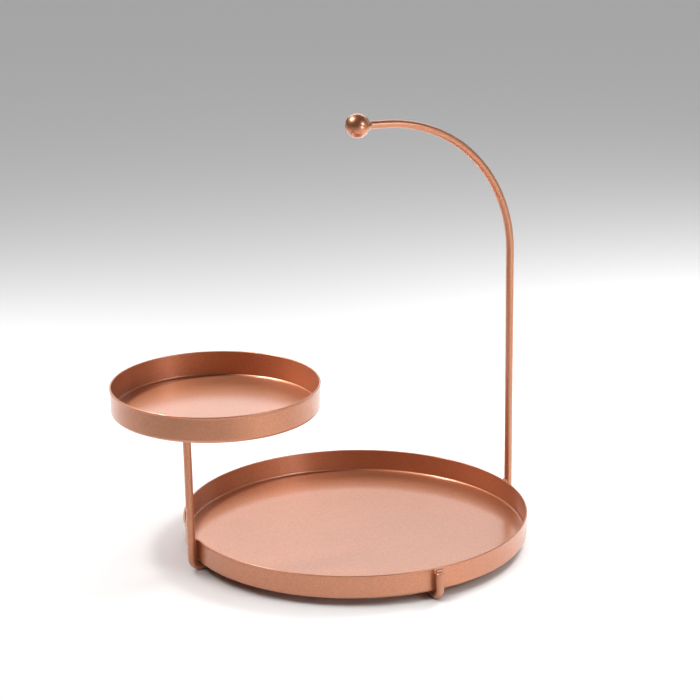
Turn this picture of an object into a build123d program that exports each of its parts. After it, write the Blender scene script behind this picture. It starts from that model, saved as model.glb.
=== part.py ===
from build123d import *
import os
from math import sin, cos, radians, sqrt

os.makedirs("parts", exist_ok=True)

# ---------------------------------------------------------------------------
# Tiered cake stand: two pressed-steel trays carried by a welded rod frame.
# +Z up, z = 0 is the table.  +X runs along the frame rod from the post to the
# handle, the free upturned ends of the cross rods are at -Y and +Y.
# The origin is the middle of the stand's outline on the table.
# ---------------------------------------------------------------------------

# rod frame
rod_d = 6.0                  # round bar
rod_r = rod_d / 2
handle_offset = 133.5        # base tray axis to the upright's axis
post_offset = 134.3          # base tray axis to the post's axis at the table
post_lean = 1.2              # the post leans outwards by this much up to the arm
foot_offset = 134.5          # base tray axis to the upturned ends' axes
foot_top = 21.9              # sawn top of the front upturned end
rear_foot_top = 20.0         # the rear one is sawn shorter and stays below the rim
arc_start = 208.3            # height where the upright becomes the arc
arc_radius = 109.4           # handle arc, rod centreline
arc_sweep = 87.0             # degrees; the end still climbs slightly
ball_reach = 24.3            # straight from the arc's end to the ball centre
ball_d = 18.0
socket_depth = 5.5           # rod let into the ball

# base tray
base_d = 260.0               # over the lip
base_height = 18.0
# upper tray
upper_d = 152.6
upper_height = 19.5
upper_offset = 111.7         # base tray axis to upper tray axis, towards the post
upper_floor = 122.8          # underside of the upper tray
arm_length = 66.0            # post axis to the sawn end of the arm

# sheet metal
sheet = 1.0
corner_r = 2.5               # outside radius between floor and wall
lip = 0.35                   # how far the edge bead stands out
lip_h = 1.9                  # height of the edge bead

# outline: upper tray's outer edge on -X, upright on +X
x_min = -(upper_offset + upper_d / 2)
x_max = handle_offset + rod_r
cx = -(x_min + x_max) / 2    # base tray axis in the stand's own frame
ux = cx - upper_offset       # upper tray axis
base_z = rod_d               # underside of the base tray
rod_z = rod_r                # axis of the rods on the table
arm_z = upper_floor - rod_r  # axis of the arm under the upper tray


# ---------------------------------------------------------------- base tray
base_r = base_d / 2
base_top = base_z + base_height
with BuildPart() as base_tray:
    with BuildSketch(Plane(origin=(cx, 0, 0), x_dir=(1, 0, 0), z_dir=(0, -1, 0))) as base_profile:
        with BuildLine():
            Polyline(
                (0, base_z),
                (base_r - lip, base_z),
                (base_r - lip, base_top - lip_h),
                (base_r, base_top - lip_h + 0.7),
                (base_r, base_top),
                (base_r - lip - sheet, base_top),
                (base_r - lip - sheet, base_z + sheet),
                (0, base_z + sheet),
                close=True,
            )
        make_face()
        fillet(base_profile.vertices().sort_by_distance((base_r - lip, base_z))[0], corner_r)
        fillet(base_profile.vertices().sort_by_distance((base_r - lip - sheet, base_z + sheet))[0], corner_r - sheet)
        fillet(base_profile.vertices().sort_by_distance((base_r, base_top))[0], 0.6)
        fillet(base_profile.vertices().sort_by_distance((base_r - lip - sheet, base_top))[0], 0.6)
    revolve(axis=Axis((cx, 0, 0), (0, 0, 1)))
base_tray.part.label = "base_tray"

# --------------------------------------------------------------- upper tray
upper_r = upper_d / 2
upper_top = upper_floor + upper_height
with BuildPart() as upper_tray:
    with BuildSketch(Plane(origin=(ux, 0, 0), x_dir=(1, 0, 0), z_dir=(0, -1, 0))) as upper_profile:
        with BuildLine():
            Polyline(
                (0, upper_floor),
                (upper_r - lip, upper_floor),
                (upper_r - lip, upper_top - lip_h),
                (upper_r, upper_top - lip_h + 0.7),
                (upper_r, upper_top),
                (upper_r - lip - sheet, upper_top),
                (upper_r - lip - sheet, upper_floor + sheet),
                (0, upper_floor + sheet),
                close=True,
            )
        make_face()
        fillet(upper_profile.vertices().sort_by_distance((upper_r - lip, upper_floor))[0], corner_r)
        fillet(upper_profile.vertices().sort_by_distance((upper_r - lip - sheet, upper_floor + sheet))[0], corner_r - sheet)
        fillet(upper_profile.vertices().sort_by_distance((upper_r, upper_top))[0], 0.6)
        fillet(upper_profile.vertices().sort_by_distance((upper_r - lip - sheet, upper_top))[0], 0.6)
    revolve(axis=Axis((ux, 0, 0), (0, 0, 1)))
upper_tray.part.label = "upper_tray"

# ---------------------------------------------------------------- frame rod
# One bar, all its bends in the XZ plane.  Each foot bend ends where the flat
# of the tray floor ends, so its radius follows from the offset.
post_x = cx - post_offset
post_top_x = post_x - post_lean
handle_x = cx + handle_offset
post_bend = post_offset - (base_r - lip) + corner_r
handle_bend = handle_offset - (base_r - lip) + corner_r
arm_bend = 7.0
arm_end_x = post_top_x + arm_length

arc_cx = handle_x - arc_radius
arc_end = (arc_cx + arc_radius * cos(radians(arc_sweep)), arc_start + arc_radius * sin(radians(arc_sweep)))
end_dir = (-sin(radians(arc_sweep)), cos(radians(arc_sweep)))
ball_c = (arc_end[0] + ball_reach * end_dir[0], arc_end[1] + ball_reach * end_dir[1])
ball_r = ball_d / 2
# the rod stops socket_depth inside the ball, measured from where its skin meets the ball
neck = sqrt(ball_r**2 - rod_r**2)
rod_end = (ball_c[0] - end_dir[0] * (neck - socket_depth), ball_c[1] - end_dir[1] * (neck - socket_depth))

with BuildPart() as frame_rod:
    with BuildLine(Plane.XZ) as frame_path:
        FilletPolyline(
            (arm_end_x, arm_z),
            (post_top_x, arm_z),
            (post_x, rod_z),
            (handle_x, rod_z),
            (handle_x, arc_start),
            radius=[arm_bend, post_bend, handle_bend],
        )
        JernArc(start=(handle_x, arc_start), tangent=(0, 1), radius=arc_radius, arc_size=arc_sweep)
        Line(arc_end, rod_end)
    with BuildSketch(Plane(origin=(arm_end_x, 0, arm_z), z_dir=(-1, 0, 0))):
        Circle(rod_r)
    sweep(path=frame_path.line)
    chamfer(frame_rod.edges().filter_by(GeomType.CIRCLE).sort_by_distance((arm_end_x, 0, arm_z))[0], 0.4)
frame_rod.part.label = "frame_rod"

# ----------------------------------------------------------- cross foot rods
foot_bend = foot_offset - (base_r - lip) + corner_r
with BuildPart() as front_foot_rod:
    with BuildLine(Plane(origin=(cx, 0, 0), x_dir=(0, -1, 0), z_dir=(-1, 0, 0))) as front_path:
        FilletPolyline((rod_r, rod_z), (foot_offset, rod_z), (foot_offset, foot_top), radius=foot_bend)
    with BuildSketch(Plane(origin=(cx, -rod_r, rod_z), z_dir=(0, -1, 0))):
        Circle(rod_r)
    sweep(path=front_path.line)
    fillet(front_foot_rod.edges().filter_by(GeomType.CIRCLE).sort_by_distance((cx, -foot_offset, foot_top))[0], 0.7)
front_foot_rod.part.label = "front_foot_rod"

with BuildPart() as rear_foot_rod:
    with BuildLine(Plane(origin=(cx, 0, 0), x_dir=(0, 1, 0), z_dir=(1, 0, 0))) as rear_path:
        FilletPolyline((rod_r, rod_z), (foot_offset, rod_z), (foot_offset, rear_foot_top), radius=foot_bend)
    with BuildSketch(Plane(origin=(cx, rod_r, rod_z), z_dir=(0, 1, 0))):
        Circle(rod_r)
    sweep(path=rear_path.line)
    fillet(rear_foot_rod.edges().filter_by(GeomType.CIRCLE).sort_by_distance((cx, foot_offset, rear_foot_top))[0], 0.7)
rear_foot_rod.part.label = "rear_foot_rod"

# ---------------------------------------------------------------- ball knob
# Solid ball with a blind socket; the rod end is let in and welded round.
knob_axis = Axis((ball_c[0], 0, ball_c[1]), (-end_dir[0], 0, -end_dir[1]))
knob_plane = Plane(origin=(ball_c[0], 0, ball_c[1]), x_dir=(0, 1, 0), z_dir=(-end_dir[0], 0, -end_dir[1]))
with BuildPart() as ball_knob:
    with BuildSketch(Plane(origin=(ball_c[0], 0, ball_c[1]), x_dir=(-end_dir[0], 0, -end_dir[1]), z_dir=(0, -1, 0))) as ball_profile:
        with BuildLine():
            CenterArc((0, 0), ball_r, 0, 180)
            Line((-ball_r, 0), (ball_r, 0))
        make_face()
    revolve(axis=knob_axis)
    with BuildSketch(knob_plane.offset(neck - socket_depth)):
        Circle(rod_r)
    extrude(amount=2 * ball_r, mode=Mode.SUBTRACT)
ball_knob.part.label = "ball_knob"

# ring of weld in the corner between ball and rod
ring_out = neck + 2.1        # along the rod, from the ball centre
ring_a = radians(27.5)       # where the bead meets the ball, from the rod axis
with BuildPart() as knob_weld:
    with BuildSketch(Plane(origin=(ball_c[0], 0, ball_c[1]), x_dir=(-end_dir[0], 0, -end_dir[1]), z_dir=(0, -1, 0))) as ring_profile:
        with BuildLine():
            Polyline(
                (neck, rod_r),
                (ring_out, rod_r),
                (ring_out - 0.9, rod_r + 0.35),
                (ball_r * cos(ring_a), ball_r * sin(ring_a)),
            )
            ThreePointArc(
                (ball_r * cos(ring_a), ball_r * sin(ring_a)),
                (ball_r * cos(radians(23.5)), ball_r * sin(radians(23.5))),
                (neck, rod_r),
            )
        make_face()
    revolve(axis=knob_axis)
knob_weld.part.label = "knob_weld"

# ------------------------------------------------------------ tacks at the rim
# Each tack is a rounded blob in the corner between a rod and the tray lip:
# a round-ended roll across the rod, cut back to the faces it grew on.
with BuildPart() as handle_rim_weld:
    with Locations((cx + base_r + 0.9, 0.2, base_top - 1.0)):
        Cylinder(radius=1.75, height=5.4, rotation=(90, 0, 0))
    fillet(handle_rim_weld.edges().filter_by(GeomType.CIRCLE), 1.4)
    add(frame_rod.part, mode=Mode.SUBTRACT)
    add(base_tray.part, mode=Mode.SUBTRACT)
handle_rim_weld.part.label = "handle_rim_weld"

# the post's weld runs down most of the wall and fills the gap between them
with BuildPart() as post_rim_weld:
    with Locations((cx - base_r - 0.85, 2.1, base_z + 9.1)):
        Cylinder(radius=1.9, height=15.8)
    fillet(post_rim_weld.edges().filter_by(GeomType.CIRCLE), 1.3)
    add(frame_rod.part, mode=Mode.SUBTRACT)
    add(base_tray.part, mode=Mode.SUBTRACT)
post_rim_weld.part.label = "post_rim_weld"

# this one sits on the sawn end and reaches up to the lip
with BuildPart() as front_rim_weld:
    with Locations((cx + 0.3, -(base_r + 1.5), base_top - 2.0)):
        Cylinder(radius=1.95, height=7.2, rotation=(0, 90, 0))
    fillet(front_rim_weld.edges().filter_by(GeomType.CIRCLE), 1.6)
    add(front_foot_rod.part, mode=Mode.SUBTRACT)
    add(base_tray.part, mode=Mode.SUBTRACT)
front_rim_weld.part.label = "front_rim_weld"

with BuildPart() as rear_rim_weld:
    with Locations((cx - 0.2, base_r + 0.8, rear_foot_top - 3.0)):
        Cylinder(radius=1.8, height=6.4, rotation=(0, 90, 0))
    fillet(rear_rim_weld.edges().filter_by(GeomType.CIRCLE), 1.45)
    add(rear_foot_rod.part, mode=Mode.SUBTRACT)
    add(base_tray.part, mode=Mode.SUBTRACT)
rear_rim_weld.part.label = "rear_rim_weld"

# --------------------------------------------------- weld at the rods' crossing
# A flat-bottomed pad each side of the frame rod, standing clear of the table
# and of the tray floor.
with BuildPart() as frame_cross_weld:
    for side in (-1, 1):
        with BuildSketch(Plane.XY.offset(0.6)):
            with Locations((cx - 4.1, side * 4.1), (cx + 4.1, side * 4.1)):
                Circle(2.6)
        extrude(amount=4.8)
    add(frame_rod.part, mode=Mode.SUBTRACT)
    add(front_foot_rod.part, mode=Mode.SUBTRACT)
    add(rear_foot_rod.part, mode=Mode.SUBTRACT)
frame_cross_weld.part.label = "frame_cross_weld"

# ------------------------------------------------- stitch beads under the floors
bead_l = 18.0


def bead_points(side):
    # cross-section of a fillet bead beside a rod under a flat sheet:
    # u across the rod, v up from the rod axis
    return [
        (side * 1.2, rod_r),
        (side * 3.9, rod_r),
        (side * 3.3, 1.5),
        (side * 2.6, 0.9),
        (side * 1.2, 0.9),
    ]


with BuildPart() as base_floor_welds:
    # along the frame rod
    for x0 in (cx - 96.0, cx + 78.0):
        with BuildSketch(Plane(origin=(x0, 0, rod_z), x_dir=(0, 1, 0), z_dir=(1, 0, 0))):
            for side in (-1, 1):
                with BuildLine():
                    Polyline(*bead_points(side), close=True)
                make_face()
            Circle(rod_r, mode=Mode.SUBTRACT)
        extrude(amount=bead_l)
    # along the cross rods
    for y0 in (-96.0, 78.0):
        with BuildSketch(Plane(origin=(cx, y0, rod_z), x_dir=(-1, 0, 0), z_dir=(0, 1, 0))):
            for side in (-1, 1):
                with BuildLine():
                    Polyline(*bead_points(side), close=True)
                make_face()
            Circle(rod_r, mode=Mode.SUBTRACT)
        extrude(amount=bead_l)
base_floor_welds.part.label = "base_floor_welds"

with BuildPart() as upper_floor_welds:
    for x0 in (post_x + 16.0, arm_end_x - 20.0):
        with BuildSketch(Plane(origin=(x0, 0, arm_z), x_dir=(0, 1, 0), z_dir=(1, 0, 0))):
            for side in (-1, 1):
                with BuildLine():
                    Polyline(*bead_points(side), close=True)
                make_face()
            Circle(rod_r, mode=Mode.SUBTRACT)
        extrude(amount=14.0)
upper_floor_welds.part.label = "upper_floor_welds"

# ----------------------------------------------------------------- write out
for piece in (
    base_tray, upper_tray, frame_rod, front_foot_rod, rear_foot_rod,
    ball_knob, knob_weld, handle_rim_weld, post_rim_weld, front_rim_weld,
    rear_rim_weld, frame_cross_weld, base_floor_welds, upper_floor_welds,
):
    export_step(piece.part, f"parts/{piece.part.label}.step")
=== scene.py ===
from math import sin, cos, pi, radians, sqrt

import bmesh
import bpy
import numpy as np
from mathutils import Matrix, Vector, noise


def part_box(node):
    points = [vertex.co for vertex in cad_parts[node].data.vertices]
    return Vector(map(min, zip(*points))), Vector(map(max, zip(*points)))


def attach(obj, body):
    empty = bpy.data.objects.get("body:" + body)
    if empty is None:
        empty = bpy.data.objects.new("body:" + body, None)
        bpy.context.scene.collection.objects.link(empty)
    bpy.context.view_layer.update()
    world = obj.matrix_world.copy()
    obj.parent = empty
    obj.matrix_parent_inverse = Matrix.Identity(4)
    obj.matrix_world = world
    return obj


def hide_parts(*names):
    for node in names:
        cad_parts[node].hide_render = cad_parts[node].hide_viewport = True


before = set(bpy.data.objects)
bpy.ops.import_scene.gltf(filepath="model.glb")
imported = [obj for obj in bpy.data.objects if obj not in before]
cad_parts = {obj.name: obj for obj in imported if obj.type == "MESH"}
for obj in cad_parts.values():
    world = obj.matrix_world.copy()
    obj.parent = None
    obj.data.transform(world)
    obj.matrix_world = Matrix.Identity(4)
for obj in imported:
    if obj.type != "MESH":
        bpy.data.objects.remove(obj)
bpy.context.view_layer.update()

MM = 0.001

# ------------------------------------------------------------------ helpers


def link(obj):
    bpy.context.scene.collection.objects.link(obj)
    return obj


def mesh_object(name, verts, faces, smooth=True):
    me = bpy.data.meshes.new(name)
    me.from_pydata([tuple(v) for v in verts], [], [tuple(f) for f in faces])
    me.validate()
    me.update()
    bm = bmesh.new()
    bm.from_mesh(me)
    bmesh.ops.recalc_face_normals(bm, faces=bm.faces)
    bm.to_mesh(me)
    bm.free()
    if smooth:
        for p in me.polygons:
            p.use_smooth = True
    return link(bpy.data.objects.new(name, me))


def lathe(name, profile, centre, segments):
    """Closed solid of revolution. profile: (r, z) from the axis out, round the section and back to the axis."""
    verts, faces, rings = [], [], []
    for r, z in profile:
        if r < 1e-7:
            rings.append([len(verts)])
            verts.append((centre[0], centre[1], z))
        else:
            ring = []
            for i in range(segments):
                a = 2 * pi * i / segments
                ring.append(len(verts))
                verts.append((centre[0] + r * cos(a), centre[1] + r * sin(a), z))
            rings.append(ring)
    for a, b in zip(rings[:-1], rings[1:]):
        for i in range(segments):
            j = (i + 1) % segments
            if len(a) == 1 and len(b) == 1:
                continue
            if len(a) == 1:
                faces.append((a[0], b[i], b[j]))
            elif len(b) == 1:
                faces.append((a[i], a[j], b[0]))
            else:
                faces.append((a[i], a[j], b[j], b[i]))
    return mesh_object(name, verts, faces)


def arc_pts(cx, cz, r, a0, a1, n):
    return [(cx + r * cos(radians(a0 + (a1 - a0) * k / n)), cz + r * sin(radians(a0 + (a1 - a0) * k / n))) for k in range(n + 1)]


def tube(name, path, radius, sides=40, cap=0.0004):
    """Round bar along a path (list of Vectors, lying in one plane), with slightly broken end edges."""
    path = [Vector(p) for p in path]
    tangents = []
    for i in range(len(path)):
        a = path[max(i - 1, 0)]
        b = path[min(i + 1, len(path) - 1)]
        tangents.append((b - a).normalized())
    # the bar bends in one plane, so that plane's normal serves as a constant second axis
    normal = Vector((0, 0, 0))
    for i in range(1, len(path) - 1):
        normal += (path[i] - path[i - 1]).cross(path[i + 1] - path[i])
    normal.normalize()
    stations = []
    steps = 5
    t0, t1 = tangents[0], tangents[-1]
    for k in range(steps + 1):
        a = pi / 2 * k / steps
        stations.append((path[0] + t0 * (cap * (1 - cos(a))), t0, radius - cap + cap * sin(a)))
    for p, t in zip(path[1:-1], tangents[1:-1]):
        stations.append((p, t, radius))
    for k in range(steps, -1, -1):
        a = pi / 2 * k / steps
        stations.append((path[-1] - t1 * (cap * (1 - cos(a))), t1, radius - cap + cap * sin(a)))
    verts, faces, rings = [], [], []
    for p, t, r in stations:
        side = t.cross(normal).normalized()
        ring = []
        for i in range(sides):
            a = 2 * pi * i / sides
            ring.append(len(verts))
            verts.append(p + side * (r * cos(a)) + normal * (r * sin(a)))
        rings.append(ring)
    for a, b in zip(rings[:-1], rings[1:]):
        for i in range(sides):
            j = (i + 1) % sides
            faces.append((a[i], a[j], b[j], b[i]))
    for ring, p in ((rings[0], stations[0][0]), (rings[-1], stations[-1][0])):
        # end face: an inner ring keeps the shading flat, then a centre fan
        inner = []
        for v in ring:
            inner.append(len(verts))
            verts.append(p + (Vector(verts[v]) - p) * 0.96)
        c = len(verts)
        verts.append(p)
        for i in range(sides):
            j = (i + 1) % sides
            faces.append((ring[i], ring[j], inner[j], inner[i]))
            faces.append((inner[i], inner[j], c))
    return mesh_object(name, verts, faces)


def round_corner(a, corner, b, r, n=14):
    """Points of the arc of radius r that rounds the corner between a-corner-b."""
    a, corner, b = Vector(a), Vector(corner), Vector(b)
    u, v = (a - corner).normalized(), (b - corner).normalized()
    half = u.angle(v) / 2
    d = r / np.tan(half)
    centre = corner + (u + v).normalized() * (r / sin(half))
    p, q = corner + u * d - centre, corner + v * d - centre
    total = p.angle(q)
    axis = p.cross(q).normalized()
    return [centre + Matrix.Rotation(total * k / n, 3, axis) @ p for k in range(n + 1)]


def spaced(a, b, step):
    a, b = Vector(a), Vector(b)
    n = max(1, int(round((b - a).length / step)))
    return [a + (b - a) * (k / n) for k in range(1, n)]


# ------------------------------------------------------ sizes from the frame
b_lo, b_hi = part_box("base_tray")
u_lo, u_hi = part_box("upper_tray")
r_lo, r_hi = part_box("frame_rod")
ff_lo, ff_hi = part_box("front_foot_rod")
rf_lo, rf_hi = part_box("rear_foot_rod")
k_lo, k_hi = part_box("ball_knob")

# the imported rims are many-sided, so their centres are exact; their radii are given as fixed numbers
base_c = ((b_lo.x + b_hi.x) / 2, 0.0)
base_r = 130.0 * MM
upper_c = ((u_lo.x + u_hi.x) / 2, 0.0)
upper_r = 76.3 * MM
rod_r = (r_hi.y - r_lo.y) / 2
rod_r = round(rod_r, 4)
LIP, SHEET, CORNER = 0.35 * MM, 1.0 * MM, 2.5 * MM


def tray_profile(R, z0, z1):
    """Section of a pressed tray: flat floor, small radius, upright wall, beaded edge."""
    wo = R - LIP                     # wall, outside
    wi = wo - SHEET                  # wall, inside
    ri = CORNER - SHEET
    p = [(0.0, z0), (R * 0.25, z0), (R * 0.5, z0), (R * 0.75, z0), (wo - CORNER - 0.002, z0), (wo - CORNER - 0.0003, z0)]
    p += arc_pts(wo - CORNER, z0 + CORNER, CORNER, -90, 0, 12)
    p += [(wo, z0 + CORNER + 0.0003)]
    zb = z1 - 1.9 * MM
    p += [(wo, z0 + (zb - z0) * 0.35), (wo, z0 + (zb - z0) * 0.7), (wo, zb - 0.0004)]
    # bead: swells out over 0.7 mm, then rolls over the top and back in
    for k in range(9):
        s = k / 8
        p.append((wo + LIP * (s * s * (3 - 2 * s)), zb + 0.8 * MM * s))
    rr = 0.6 * MM
    p += arc_pts(R - rr, z1 - rr, rr, 0, 90, 8)[0:]
    p += arc_pts(wi + rr, z1 - rr, rr, 90, 180, 8)
    p += [(wi, z1 - rr - 0.0003), (wi, zb), (wi, z0 + (zb - z0) * 0.7), (wi, z0 + (zb - z0) * 0.35), (wi, z0 + SHEET + ri + 0.0003)]
    p += arc_pts(wi - ri, z0 + SHEET + ri, ri, 0, -90, 10)
    p += [(wi - ri - 0.0003, z0 + SHEET), (wi - ri - 0.002, z0 + SHEET), (R * 0.75, z0 + SHEET), (R * 0.5, z0 + SHEET), (R * 0.25, z0 + SHEET), (0.0, z0 + SHEET)]
    clean = [p[0]]
    for q in p[1:]:
        if abs(q[0] - clean[-1][0]) + abs(q[1] - clean[-1][1]) > 1e-7:
            clean.append(q)
    return clean


# ------------------------------------------------------------------- pieces
base = lathe("base_tray_visual", tray_profile(base_r, b_lo.z, b_hi.z), base_c, 360)
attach(base, "root"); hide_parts("base_tray")

upper = lathe("upper_tray_visual", tray_profile(upper_r, u_lo.z, u_hi.z), upper_c, 300)
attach(upper, "root"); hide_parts("upper_tray")

# frame rod: arm, post, run under the base tray, upright, arc, end inside the ball
post_x = base_c[0] - 134.3 * MM
post_top = post_x - 1.2 * MM
up_x = r_hi.x - rod_r
arm_z = u_lo.z - rod_r
arm_end = post_top + 66.0 * MM
ARC_R, ARC_SWEEP, ARC_Z = 109.4 * MM, 87.0, 208.3 * MM
post_bend = (base_c[0] - post_x) - (base_r - LIP) + CORNER
up_bend = (up_x - base_c[0]) - (base_r - LIP) + CORNER
path = [Vector((arm_end, 0, arm_z))]
c1 = round_corner((arm_end, 0, arm_z), (post_top, 0, arm_z), (post_x, 0, rod_r), 7.0 * MM)
path += spaced(path[-1], c1[0], 0.008) + c1
c2 = round_corner((post_top, 0, arm_z), (post_x, 0, rod_r), (up_x, 0, rod_r), post_bend)
path += spaced(path[-1], c2[0], 0.010) + c2
c3 = round_corner((post_x, 0, rod_r), (up_x, 0, rod_r), (up_x, 0, ARC_Z), up_bend)
path += spaced(path[-1], c3[0], 0.020) + c3
path += spaced(path[-1], (up_x, 0, ARC_Z), 0.010)
for k in range(0, 61):
    a = radians(ARC_SWEEP * k / 60)
    path.append(Vector((up_x - ARC_R + ARC_R * cos(a), 0, ARC_Z + ARC_R * sin(a))))
d = Vector((-sin(radians(ARC_SWEEP)), 0, cos(radians(ARC_SWEEP))))
arc_end = path[-1].copy()
ball_c = arc_end + d * 24.3 * MM
ball_r = 9.0 * MM
neck = sqrt(ball_r**2 - rod_r**2)
rod_end = ball_c - d * (neck - 5.5 * MM)
path += spaced(arc_end, rod_end, 0.004) + [rod_end]
rod = tube("frame_rod_visual", path, rod_r, sides=44)
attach(rod, "root"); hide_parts("frame_rod")


def foot(name, node, sign, lo, hi):
    far = (sign * max(abs(lo.y), abs(hi.y))) - sign * rod_r
    x = (lo.x + hi.x) / 2
    bend = abs(far) - (base_r - LIP) + CORNER
    a, c, b = Vector((x, sign * rod_r, rod_r)), Vector((x, far, rod_r)), Vector((x, far, hi.z))
    cor = round_corner(a, c, b, bend)
    pts = [a] + spaced(a, cor[0], 0.015) + cor + spaced(cor[-1], b, 0.003) + [b]
    o = tube(name, pts, rod_r, sides=44, cap=0.0007)
    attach(o, "root"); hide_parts(node)
    return o


front_foot = foot("front_foot_rod_visual", "front_foot_rod", -1, ff_lo, ff_hi)
rear_foot = foot("rear_foot_rod_visual", "rear_foot_rod", 1, rf_lo, rf_hi)


def ball():
    """Turned ball with a drilled socket, on the rod's axis."""
    axis = -d
    prof = []
    # outside from the far pole to the socket mouth
    mouth = np.degrees(np.arcsin(rod_r / ball_r))
    n = 64
    for k in range(n + 1):
        a = radians(180 - (180 - mouth) * k / n)
        prof.append((ball_r * sin(a), ball_r * cos(a)))
    prof[0] = (0.0, -ball_r)
    depth = neck - 5.5 * MM
    prof += [(rod_r, neck - 0.001), (rod_r, depth + 0.0002), (rod_r * 0.97, depth), (0.0, depth)]
    side = Vector((0, 1, 0))
    third = axis.cross(side).normalized()
    verts, faces, rings = [], [], []
    seg = 96
    for r, h in prof:
        if r < 1e-8:
            rings.append([len(verts)]); verts.append(ball_c + axis * h)
        else:
            ring = []
            for i in range(seg):
                a = 2 * pi * i / seg
                ring.append(len(verts)); verts.append(ball_c + axis * h + side * (r * cos(a)) + third * (r * sin(a)))
            rings.append(ring)
    for a, b in zip(rings[:-1], rings[1:]):
        for i in range(seg):
            j = (i + 1) % seg
            if len(a) == 1:
                faces.append((a[0], b[i], b[j]))
            elif len(b) == 1:
                faces.append((a[i], a[j], b[0]))
            else:
                faces.append((a[i], a[j], b[j], b[i]))
    return mesh_object("ball_knob_visual", verts, faces)


knob = ball()
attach(knob, "root"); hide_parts("ball_knob")

# ------------------------------------------------------------ look settings
FLOOR = 0.78

# ---------------------------------------------------------------- materials


def coating(name, base, dark, rough, coat, coat_rough, metallic, grain, bump, seed):
    """Metallic powder coat: flake speckle, slow tone drift, orange-peel bump."""
    m = bpy.data.materials.new(name)
    m.use_nodes = True
    nt = m.node_tree
    n, l = nt.nodes, nt.links
    n.clear()
    out = n.new("ShaderNodeOutputMaterial")
    bsdf = n.new("ShaderNodeBsdfPrincipled")
    l.new(bsdf.outputs["BSDF"], out.inputs["Surface"])
    tc = n.new("ShaderNodeTexCoord")
    mp = n.new("ShaderNodeMapping")
    mp.inputs["Location"].default_value = (seed * 0.37, seed * 0.11, seed * 0.23)
    l.new(tc.outputs["Object"], mp.inputs["Vector"])
    flake = n.new("ShaderNodeTexNoise")
    flake.inputs["Scale"].default_value = grain
    flake.inputs["Detail"].default_value = 4.0
    flake.inputs["Roughness"].default_value = 0.75
    l.new(mp.outputs["Vector"], flake.inputs["Vector"])
    cells = n.new("ShaderNodeTexVoronoi")
    cells.inputs["Scale"].default_value = grain * 1.7
    l.new(mp.outputs["Vector"], cells.inputs["Vector"])
    drift = n.new("ShaderNodeTexNoise")
    drift.inputs["Scale"].default_value = 14.0
    drift.inputs["Detail"].default_value = 3.0
    l.new(mp.outputs["Vector"], drift.inputs["Vector"])
    # colour: base to dark by flake, nudged by drift and by single flakes
    ramp = n.new("ShaderNodeMapRange")
    ramp.inputs["From Min"].default_value = 0.36
    ramp.inputs["From Max"].default_value = 0.64
    l.new(flake.outputs["Fac"], ramp.inputs["Value"])
    mix1 = n.new("ShaderNodeMix"); mix1.data_type = "RGBA"
    mix1.inputs["A"].default_value = (*dark, 1)
    mix1.inputs["B"].default_value = (*base, 1)
    l.new(ramp.outputs["Result"], mix1.inputs["Factor"])
    sep = n.new("ShaderNodeSeparateColor")
    l.new(cells.outputs["Color"], sep.inputs["Color"])
    spark = n.new("ShaderNodeMapRange")
    spark.inputs["From Min"].default_value = 0.72
    spark.inputs["From Max"].default_value = 1.0
    spark.inputs["To Max"].default_value = 0.35
    l.new(sep.outputs["Red"], spark.inputs["Value"])
    mix2 = n.new("ShaderNodeMix"); mix2.data_type = "RGBA"
    l.new(spark.outputs["Result"], mix2.inputs["Factor"])
    l.new(mix1.outputs["Result"], mix2.inputs["A"])
    mix2.inputs["B"].default_value = (min(1, base[0] * 1.12), min(1, base[1] * 1.3), min(1, base[2] * 1.4), 1)
    tone = n.new("ShaderNodeMapRange")
    tone.inputs["From Min"].default_value = 0.3
    tone.inputs["From Max"].default_value = 0.7
    tone.inputs["To Min"].default_value = 0.955
    tone.inputs["To Max"].default_value = 1.04
    l.new(drift.outputs["Fac"], tone.inputs["Value"])
    mul = n.new("ShaderNodeMix"); mul.data_type = "RGBA"; mul.blend_type = "MULTIPLY"
    mul.inputs["Factor"].default_value = 1.0
    l.new(mix2.outputs["Result"], mul.inputs["A"])
    comb = n.new("ShaderNodeCombineColor")
    for c in ("Red", "Green", "Blue"):
        l.new(tone.outputs["Result"], comb.inputs[c])
    l.new(comb.outputs["Color"], mul.inputs["B"])
    l.new(mul.outputs["Result"], bsdf.inputs["Base Color"])
    # roughness: flakes catch the light a little harder than the binder
    rg = n.new("ShaderNodeMapRange")
    rg.inputs["From Min"].default_value = 0.3
    rg.inputs["From Max"].default_value = 0.7
    rg.inputs["To Min"].default_value = rough + 0.05
    rg.inputs["To Max"].default_value = rough - 0.05
    l.new(flake.outputs["Fac"], rg.inputs["Value"])
    l.new(rg.outputs["Result"], bsdf.inputs["Roughness"])
    # bump: orange peel plus the flakes
    peel = n.new("ShaderNodeTexNoise")
    peel.inputs["Scale"].default_value = grain * 0.42
    peel.inputs["Detail"].default_value = 2.0
    l.new(mp.outputs["Vector"], peel.inputs["Vector"])
    add = n.new("ShaderNodeMath"); add.operation = "MULTIPLY_ADD"
    l.new(flake.outputs["Fac"], add.inputs[0])
    add.inputs[1].default_value = 0.45
    l.new(peel.outputs["Fac"], add.inputs[2])
    bp = n.new("ShaderNodeBump")
    bp.inputs["Strength"].default_value = 1.0
    bp.inputs["Distance"].default_value = bump
    l.new(add.outputs["Value"], bp.inputs["Height"])
    l.new(bp.outputs["Normal"], bsdf.inputs["Normal"])
    bsdf.inputs["Metallic"].default_value = metallic
    bsdf.inputs["Specular IOR Level"].default_value = 0.5
    bsdf.inputs["Coat Weight"].default_value = coat
    bsdf.inputs["Coat Roughness"].default_value = coat_rough
    bsdf.inputs["Coat IOR"].default_value = 1.52
    return m


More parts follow.
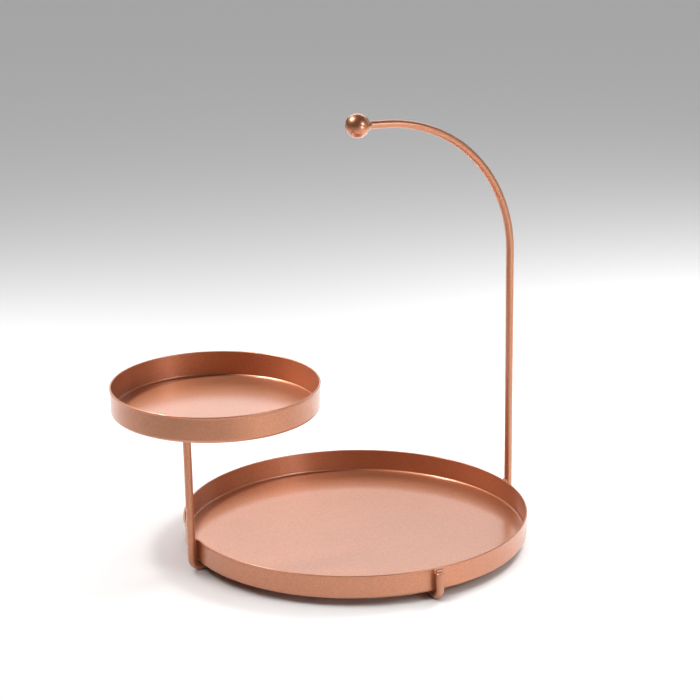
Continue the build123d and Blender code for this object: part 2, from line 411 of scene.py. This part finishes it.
COPPER = (0.68, 0.275, 0.142)
COPPER_DARK = (0.54, 0.205, 0.098)
tray_mat = coating("copper_tray_coating", COPPER, COPPER_DARK, 0.48, 1.0, 0.20, 0.72, 1150.0, 0.00006, 1.0)
rod_mat = coating("copper_rod_coating", COPPER, COPPER_DARK, 0.46, 1.0, 0.20, 0.72, 1300.0, 0.00002, 2.0)
knob_mat = coating("copper_knob_coating", COPPER, COPPER_DARK, 0.38, 1.0, 0.14, 0.80, 1500.0, 0.00002, 3.0)
weld_mat = coating("copper_weld_coating", COPPER, COPPER_DARK, 0.42, 1.0, 0.18, 0.72, 1100.0, 0.00008, 4.0)


def paint(obj, mat):
    obj.data.materials.clear()
    obj.data.materials.append(mat)


for o in (base, upper):
    paint(o, tray_mat)
for o in (rod, front_foot, rear_foot):
    paint(o, rod_mat)
paint(knob, knob_mat)

# the weld beads keep their CAD shape: their slots get the coating, and a fine
# remesh with a little relief takes the machined look off them
for name in ("knob_weld", "handle_rim_weld", "post_rim_weld", "front_rim_weld", "rear_rim_weld", "frame_cross_weld", "base_floor_welds", "upper_floor_welds"):
    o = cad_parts[name]
    for s in o.material_slots:
        s.material = weld_mat
    small = name in ("knob_weld", "handle_rim_weld", "post_rim_weld", "front_rim_weld", "rear_rim_weld")
    rm = o.modifiers.new("skin", "REMESH")
    rm.mode = "VOXEL"
    rm.voxel_size = 0.00022 if small else 0.0004
    rm.use_smooth_shade = True
    sm = o.modifiers.new("flow", "SMOOTH")
    sm.iterations = 6
    sm.factor = 0.5

# -------------------------------------------------------------------- stage
floor_me = bpy.data.meshes.new("studio_floor")
bm = bmesh.new()
bmesh.ops.create_grid(bm, x_segments=2, y_segments=2, size=8.0)
bm.to_mesh(floor_me)
bm.free()
floor = link(bpy.data.objects.new("studio_floor", floor_me))
fm = bpy.data.materials.new("pale_floor")
fm.use_nodes = True
fb = fm.node_tree.nodes["Principled BSDF"]
fb.inputs["Base Color"].default_value = (FLOOR, FLOOR, FLOOR, 1)
fb.inputs["Roughness"].default_value = 0.7
floor_me.materials.append(fm)

# soft surroundings, a little brighter overhead; the eye sees one plain pale grey
world = bpy.data.worlds.new("studio")
bpy.context.scene.world = world
world.use_nodes = True
wn, wl = world.node_tree.nodes, world.node_tree.links
wn.clear()
wout = wn.new("ShaderNodeOutputWorld")
wtc = wn.new("ShaderNodeTexCoord")
wsep = wn.new("ShaderNodeSeparateXYZ")
wl.new(wtc.outputs["Generated"], wsep.inputs["Vector"])
wmap = wn.new("ShaderNodeMapRange"); wmap.interpolation_type = "SMOOTHSTEP"
wmap.inputs["From Min"].default_value = -0.1
wmap.inputs["From Max"].default_value = 1.0
wmap.inputs["To Min"].default_value = 0.0
wmap.inputs["To Max"].default_value = 0.02
wl.new(wsep.outputs["Z"], wmap.inputs["Value"])
bg = wn.new("ShaderNodeBackground")
bg.inputs["Color"].default_value = (1.0, 0.99, 0.985, 1)
wl.new(wmap.outputs["Result"], bg.inputs["Strength"])
bgc = wn.new("ShaderNodeBackground")
bgc.inputs["Color"].default_value = (0.40, 0.40, 0.40, 1)
bgc.inputs["Strength"].default_value = 1.0
wlp = wn.new("ShaderNodeLightPath")
wmix = wn.new("ShaderNodeMixShader")
wl.new(wlp.outputs["Is Camera Ray"], wmix.inputs["Fac"])
wl.new(bg.outputs["Background"], wmix.inputs[1])
wl.new(bgc.outputs["Background"], wmix.inputs[2])
wl.new(wmix.outputs["Shader"], wout.inputs["Surface"])


def area(name, direction, dist, size, power, color=(1, 1, 1), target=(0.0, 0.0, 0.10)):
    la = bpy.data.lights.new(name, "AREA")
    la.shape = "RECTANGLE"
    la.size, la.size_y = size
    la.energy = power
    la.color = color
    o = link(bpy.data.objects.new(name, la))
    o.location = Vector(target) + Vector(direction).normalized() * dist
    o.rotation_euler = (Vector(target) - o.location).to_track_quat("-Z", "Y").to_euler()
    return o


def towards(r, away, upw):
    """Direction from the stand, as seen from the camera's side: right, away, up."""
    return Vector((0.897, -0.4421, 0)) * r + Vector((0.4421, 0.897, 0)) * away + Vector((0, 0, 1)) * upw


def members(name, objects, state):
    c = bpy.data.collections.new(name)
    for o in objects:
        c.objects.link(o)
    for m in c.collection_objects:
        m.light_linking.link_state = state
    return c


# the key comes as a pair, so that the upper tray throws its rim's shadow on itself but none on the base tray
KEY_DIR = (-0.4285, 0.3443, 0.836)
key_a = area("key_left", KEY_DIR, 1.7, (0.28, 0.28), 24)
key_a.light_linking.receiver_collection = members("key_left_lights", [upper, floor], "EXCLUDE")
key_a.light_linking.blocker_collection = members("key_left_blocked", [upper], "EXCLUDE")
key_b = area("key_left_upper", KEY_DIR, 1.7, (0.28, 0.28), 32)
key_b.light_linking.receiver_collection = members("key_left_upper_lights", [upper], "INCLUDE")
back = area("softbox_back", towards(0.0, 1.0, 0.6), 1.5, (1.4, 0.8), 6.4)
back.light_linking.receiver_collection = members("softbox_back_lights", [floor], "EXCLUDE")
area("softbox_back_right", towards(0.6, 0.6, 0.9), 1.3, (0.9, 0.9), 0.3)
area("rim_back_right", towards(0.75, 0.65, 0.35), 1.2, (0.4, 0.8), 0.8)
area("softbox_right", (0.443, -0.721, 0.507), 1.4, (0.4, 0.4), 4.3)
area("fill_front_right", towards(0.7, -0.7, 0.12), 1.2, (0.25, 0.25), 2.4)
area("fill_right", towards(1.0, -0.1, 0.35), 1.3, (0.7, 0.7), 0.5)
# a weak light that only lifts the floor close in front of the stand
lift = area("floor_lift", (0, 0, 1), 0.25, (0.30, 0.16), 0.45, target=tuple(towards(-0.06, -0.17, 0.0)))
lift.light_linking.receiver_collection = members("floor_lift_lights", [floor], "INCLUDE")
# the same behind and to the right, for the pale reflections along the walls' right-hand ends
glow = area("floor_lift_right", (0, 0, 1), 0.5, (0.3, 0.3), 4.2, target=tuple(towards(0.40, 0.30, 0.0)))
glow.light_linking.receiver_collection = members("floor_lift_right_lights", [floor], "INCLUDE")
glow_l = area("floor_lift_left", (0, 0, 1), 0.5, (0.3, 0.3), 2.9, target=tuple(towards(-0.42, 0.28, 0.0)))
glow_l.light_linking.receiver_collection = members("floor_lift_left_lights", [floor], "INCLUDE")
# an even level for the whole floor
even = bpy.data.lights.new("floor_even", "SUN")
even.angle = 1.2
even.energy = 1.5
even_o = link(bpy.data.objects.new("floor_even", even))
even_o.light_linking.receiver_collection = members("floor_even_lights", [floor], "INCLUDE")

bpy.context.scene.view_settings.view_transform = "Standard"

# ------------------------------------------------------------------- camera
cam_data = bpy.data.cameras.new("photo_camera")
cam = link(bpy.data.objects.new("photo_camera", cam_data))
right = Vector((0.895215, -0.445472, -0.012042))
up = Vector((0.145531, 0.266705, 0.952727))
back = Vector((-0.421201, -0.854648, 0.303588))
rot = Matrix((right, up, back)).transposed()
cam.matrix_world = Matrix.Translation(Vector((-0.71075, -1.48891, 0.67942))) @ rot.to_4x4()
cam_data.sensor_width = 36.0
cam_data.lens = 120.93
cam_data.clip_start = 0.05
cam_data.clip_end = 50.0
cam_data.dof.use_dof = False
bpy.context.scene.camera = cam

bpy.context.view_layer.update()
